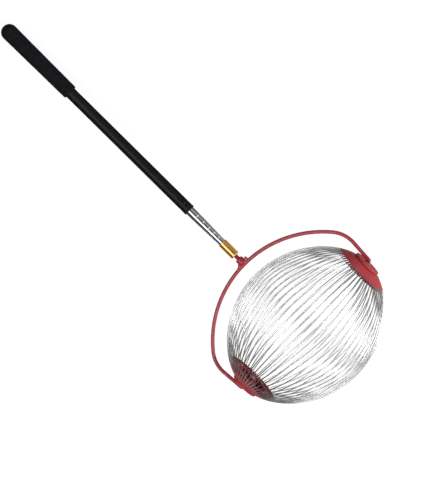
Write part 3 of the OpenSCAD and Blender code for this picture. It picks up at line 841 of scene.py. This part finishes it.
def stages():
    """Each stage: a thin tube whose front is rolled in and whose rear is widened and crimped.

    The rolled lip is a short cone between two small edges, which catches the light.
    """
    for k in range(1, STAGE_COUNT + 1):
        r = stage_r(k)
        next_r = r - STAGE_STEP / 2
        front, rear = stage_front(k), stage_rear(k)
        flare = 0.07 if k > 1 else 0.02
        flare_z = (stage_front(k - 1) + STAGE_TRAVEL + 3.5) if k > 1 else rear - 3
        mouth = next_r + 0.03 if k < STAGE_COUNT else r - STAGE_WALL
        cone = np.array([0, 0.1, 0.9, 1])
        low, high = mouth + 0.07, r - 0.04
        cone = np.stack([low + (high - low) * cone, front + 0.06 + (high - low) * cone / LIP_SLOPE],
                        1)
        outline = np.concatenate([
            [[mouth, front + 0.05], [mouth + 0.02, front]], cone,
            [[r, cone[-1, 1] + 0.15]],
            np.stack([np.full(8, r), np.linspace(front + 1.6, flare_z, 8)], 1),
            [[r + flare, flare_z + 0.4], [r + flare, rear], [next_r - 0.5, rear],
             [next_r - 0.5, rear - 2], [r - STAGE_WALL, rear - 2], [r - STAGE_WALL, front + 3],
             [mouth, front + 3]]])
        body = "head" if k == STAGE_COUNT else f"stage_{k}"
        piece(f"chrome_stage_{k}", [revolved(outline, 112)], on_pole, body, CHROME,
              [f"stage_tube_{k}"])


def pole_fittings():
    """The black tube with its bush, guide, stop and plug; a crimp in the tube holds the bush."""
    rear = stage_rear(1)
    sleeve = ring_outline(STAGE_D / 2 + 0.05, TUBE_R - TUBE_WALL - 0.03,
                          TUBE_FRONT + NOSE_H + NOSE_LEN + STAGE_TRAVEL + 0.5, rear, 0.2)
    piece("nylon_guide", [revolved(sleeve)], on_pole, "stage_1", NYLON, ["guide_sleeve"])
    stop = ring_outline((TUBE_R - TUBE_WALL) / 2, TUBE_R - TUBE_WALL - 0.025, rear + 0.2,
                        rear + 0.2 + STOP_LEN, 0.4)
    piece("nylon_stop", [revolved(stop)], on_pole, "handle", NYLON, ["stage_stop"])
    bore = STAGE_D / 2 + 0.03
    spigot = TUBE_R - TUBE_WALL - 0.025
    nose = rounded([(bore, TUBE_FRONT, 0.5), (NOSE_R, TUBE_FRONT, 1.45),
                    (NOSE_R, TUBE_FRONT + NOSE_H, 0.25), (spigot, TUBE_FRONT + NOSE_H, 0),
                    (spigot, TUBE_FRONT + NOSE_H + NOSE_LEN, 0.3),
                    (bore, TUBE_FRONT + NOSE_H + NOSE_LEN, 0)], 7)
    piece("nose_ferrule", [revolved(nose)], on_pole, "handle", BLACK_PLASTIC,
          ["nose_bush"])
    inner = TUBE_R - TUBE_WALL
    groove = np.radians(np.linspace(-90, 90, 9))
    groove = np.stack([TUBE_R - GROOVE_DEPTH * np.cos(groove) ** 2,
                       TUBE_FRONT + GROOVE_Z + GROOVE_HALF * np.sin(groove)], 1)
    wall = np.concatenate([
        rounded([(inner, TUBE_FRONT + NOSE_H, 0), (TUBE_R, TUBE_FRONT + NOSE_H, 0.2),
                 (TUBE_R, TUBE_FRONT + GROOVE_Z - 2, 0)], 4), groove,
        rounded([(TUBE_R, TUBE_FRONT + GROOVE_Z + 2, 0), (TUBE_R, TUBE_REAR, 0.2),
                 (inner, TUBE_REAR, 0)], 4)])
    piece("black_tube", [revolved(wall, 112)], on_pole, "handle", BLACK_COAT,
          ["outer_tube"])
    plug = np.concatenate([
        [[0.05, TUBE_REAR - 14]], [[spigot - 0.8, TUBE_REAR - 14], [spigot, TUBE_REAR - 13.2]],
        [[spigot, TUBE_REAR], [TUBE_R, TUBE_REAR], [TUBE_R, TUBE_REAR + PLUG_H],
         [0.05, TUBE_REAR + PLUG_H]]])
    piece("end_plug", [revolved(plug, closed=False)], on_pole, "handle",
          BLACK_PLASTIC, ["tube_end_plug"])


def grip():
    """The foam grip: a tapered sleeve with a domed end, its surface a little uneven.

    The outline runs along the outside, over the dome to the axis and back along the bore.
    """
    dome = arc(0, GRIP_FAR, GRIP_R, 0, 89.5, 22)
    z = np.linspace(GRIP_FRONT + 1.6, GRIP_FAR, 90)[:-1]
    side_r = GRIP_FRONT_R + (GRIP_R - GRIP_FRONT_R) * (z - GRIP_FRONT) / (GRIP_FAR - GRIP_FRONT)
    front = arc(GRIP_FRONT_R - 1.5, GRIP_FRONT + 1.5, 1.5, -90, 0, 6)
    outside = np.concatenate([front, np.stack([side_r, z], 1), dome])
    inside = [[0.07, TUBE_REAR + PLUG_H], [TUBE_R + 0.025, TUBE_REAR + PLUG_H],
              [TUBE_R + 0.025, GRIP_FRONT + 0.3]]
    outline = np.concatenate([outside, inside])
    turns = 128
    angle = TAU * np.arange(turns) / turns
    r, along = outline[:, :1], outline[:, 1:]
    wave = (0.09 * np.sin(along * 0.11 + 2 * angle) + 0.07 * np.sin(along * 0.29 - 3 * angle)
            + 0.05 * np.sin(along * 0.53 + 5 * angle))
    soft = np.clip((r - 11.5) / 1.0, 0, 1) * np.clip((GRIP_FAR + 8 - along) / 8, 0, 1)
    r = r - soft * (0.12 + 0.5 * wave)
    grid = np.stack([r * np.cos(angle), r * np.sin(angle), along + 0 * angle], -1)
    piece("foam_sleeve", [shell(grid, wrap_rows=True)], on_pole, "handle", FOAM,
          ["foam_grip"])


# Camera, light and floor

PX = 1.61 * MM
PHOTO_W, PHOTO_H = 435, 495
VIEW_TILT = math.radians(9.5)
CAMERA_AWAY = 3.5
HEAD_DIR = (0.71138504, 0.70280248)
TOP_OF_YOKE_PX = (244.197, 264.316)
SENSOR = 36.0


def pole_axes():
    """To the head, across the pole in the picture, and from the picture to the camera.

    The camera faces the plane of pole and yoke, but for a tilt that brings the right cap forward.
    """
    to_head = -TO_GRIP
    flat_back = np.cross(to_head, AXLE)
    across = AXLE * math.cos(VIEW_TILT) - flat_back * math.sin(VIEW_TILT)
    back = AXLE * math.sin(VIEW_TILT) + flat_back * math.cos(VIEW_TILT)
    return to_head, across, back


POLE_AXES = pole_axes()


def view_axes():
    """Right, up and back of the picture."""
    to_head, across, back = POLE_AXES
    d1, d2 = HEAD_DIR
    return d1 * to_head + d2 * across, -d2 * to_head + d1 * across, back


def camera():
    right, up, back = view_axes()
    top_of_yoke = AXLE_POINT + TO_GRIP * YOKE_DEPTH * MM
    off_x = (TOP_OF_YOKE_PX[0] - PHOTO_W / 2) * PX
    off_y = (PHOTO_H / 2 - TOP_OF_YOKE_PX[1]) * PX
    target = top_of_yoke - right * off_x - up * off_y
    data = bpy.data.cameras.new("camera")
    data.sensor_width = SENSOR
    data.lens = SENSOR * CAMERA_AWAY / (PHOTO_H * PX)
    data.clip_end = 50
    obj = bpy.data.objects.new("camera", data)
    turn = Matrix((right, up, back)).transposed().to_4x4()
    obj.matrix_world = Matrix.Translation(Vector(target + back * CAMERA_AWAY)) @ turn
    bpy.context.scene.collection.objects.link(obj)
    bpy.context.scene.camera = obj


def area_lamp(name, across, along, distance, size, power):
    """A soft box that faces the object, placed by its angles from the camera's direction.

    across turns it from the camera's direction towards the picture's right of the pole, and
    along turns it towards the head. Its long side lies along the pole.
    """
    to_head, side, back = POLE_AXES
    towards = side * math.sin(across) + back * math.cos(across)
    towards = to_head * math.sin(along) + towards * math.cos(along)
    width = np.cross(to_head, towards)
    width /= np.linalg.norm(width)
    data = bpy.data.lights.new(name, "AREA")
    data.shape = "RECTANGLE"
    data.size, data.size_y = size
    data.energy = power
    obj = bpy.data.objects.new(name, data)
    turn = Matrix((width, np.cross(towards, width), towards)).transposed().to_4x4()
    target = Vector((0, -0.08, 0.05))
    obj.matrix_world = Matrix.Translation(target + Vector(towards * distance)) @ turn
    bpy.context.scene.collection.objects.link(obj)


def window(n, value, low, high, soft):
    """1 between low and high, falling to 0 over soft on each side."""
    rise = n.span(value, low - soft, low)
    fall = n.span(value, high + soft, high)
    return n.math("MULTIPLY", rise, fall)


def world():
    """A plain white studio with a dark side: what the metal mirrors isn't what lights the object.

    Diffuse rays see a soft light that fades towards the floor. Glossy rays see a dim room with a
    wall to the right of the pole and a haze before it, and pale bands across both ends of the
    ceiling that stop short of its left side. The camera sees plain white.
    """
    made = bpy.data.worlds.new("studio")
    made.use_nodes = True
    n = Nodes(made.node_tree)
    towards = n.add("ShaderNodeTexCoord").outputs["Generated"]

    def share(axis):
        return n.add("ShaderNodeVectorMath", {0: towards, 1: Vector(axis)},
                     operation="DOT_PRODUCT").outputs["Value"]

    to_head, side, back = POLE_AXES
    angle = n.math("ARCTAN2", share(side), share(back))
    wall = window(n, angle, math.radians(42), math.radians(72), 0.12)
    end = n.math("ABSOLUTE", share(to_head))
    wall = n.math("MULTIPLY", n.math("MULTIPLY", wall, n.span(end, 0.4, 0.22)), 0.42)
    haze = n.math("MULTIPLY", window(n, angle, math.radians(16), math.radians(42), 0.15), 0.12)
    band = n.math("MULTIPLY", window(n, angle, math.radians(-72), math.radians(120), 0.2),
                  window(n, end, 0.36, 0.7, 0.12))
    room = n.math("ADD", n.math("ADD", wall, n.math("MULTIPLY", band, 0.8)),
                  n.math("ADD", haze, 0.08))
    soft = n.span(n.add("ShaderNodeSeparateXYZ", {0: towards}).outputs["Z"], 0.15, 0.95, 0.04, 0.33)
    path = n.add("ShaderNodeLightPath").outputs
    seen = n.add("ShaderNodeMix", {0: path["Is Glossy Ray"], 2: soft, 3: room}).outputs[0]
    strength = n.math("MAXIMUM", seen, path["Is Camera Ray"])
    background = n.add("ShaderNodeBackground", {"Color": (1, 1, 1, 1), "Strength": strength})
    output = n.add("ShaderNodeOutputWorld")
    n.tree.links.new(background.outputs[0], output.inputs[0])
    bpy.context.scene.world = made


def floor():
    """A pale floor that shows white but for the object's shadow.

    The camera sees white all over. Metal and glass see it white round the object's head, further
    to its sides than along the pole, and darker beyond, as in a studio with its light on the table.
    """
    size = 12.0
    corners = np.array([[-1, -1, 0], [1, -1, 0], [1, 1, 0], [-1, 1, 0]]) * size
    mesh = bpy.data.meshes.new("floor")
    mesh.from_pydata(corners.tolist(), [], [(0, 1, 2, 3)])
    material = bpy.data.materials.new("pale_floor")
    material.use_nodes = True
    n = Nodes(material.node_tree)
    where = n.add("ShaderNodeTexCoord").outputs["Object"]
    away = n.add("ShaderNodeVectorMath", {0: where}, operation="LENGTH").outputs["Value"]
    far = n.span(away, 0.5, 0.9)
    lit = n.add("ShaderNodeBsdfDiffuse", {"Color": n.blend(far, (0.14, 0.14, 0.14, 1),
                                                           (0.12, 0.12, 0.12, 1))})
    path = n.add("ShaderNodeLightPath").outputs
    mirrored = n.math("MAXIMUM", path["Is Glossy Ray"], path["Is Transmission Ray"])
    narrowed = n.add("ShaderNodeVectorMath", {0: where, 1: (0.35, 1, 1)}, operation="MULTIPLY")
    at_head = n.add("ShaderNodeVectorMath", {0: narrowed.outputs[0], 1: (0, AXLE_POINT[1], 0)},
                    operation="DISTANCE").outputs["Value"]
    near = n.span(at_head, 0.15, 0.27, 1.0, 0.0)
    mirrored = n.math("MULTIPLY", mirrored, n.math("MULTIPLY", near, 0.7))
    direct = n.math("MULTIPLY", path["Is Camera Ray"], n.span(away, 0.5, 0.9, 0.9, 0.93))
    glow = n.add("ShaderNodeEmission", {"Color": (1, 1, 1, 1),
                                        "Strength": n.math("MAXIMUM", mirrored, direct)})
    both = n.add("ShaderNodeAddShader", {0: lit.outputs[0], 1: glow.outputs[0]})
    output = n.add("ShaderNodeOutputMaterial")
    n.tree.links.new(both.outputs[0], output.inputs[0])
    mesh.materials.append(material)
    obj = bpy.data.objects.new("floor", mesh)
    bpy.context.scene.collection.objects.link(obj)


def studio():
    camera()
    world()
    floor()
    area_lamp("key", math.radians(-30), math.radians(4), 3.0, (1.7, 2.8), 50)
    area_lamp("fill", math.radians(50), math.radians(56), 3.0, (1.9, 1.9), 84)
    area_lamp("strip", 0.0, math.radians(-26), 3.0, (2.2, 0.7), 10)
    bpy.context.scene.view_settings.view_transform = "Standard"


cage_wires()
for label, end in (("left", -1), ("right", 1)):
    caps(label, end)
    hubs(label, end)
    cap_fittings(label, end)
yoke()
stud()
collar()
stages()
pole_fittings()
grip()
studio()
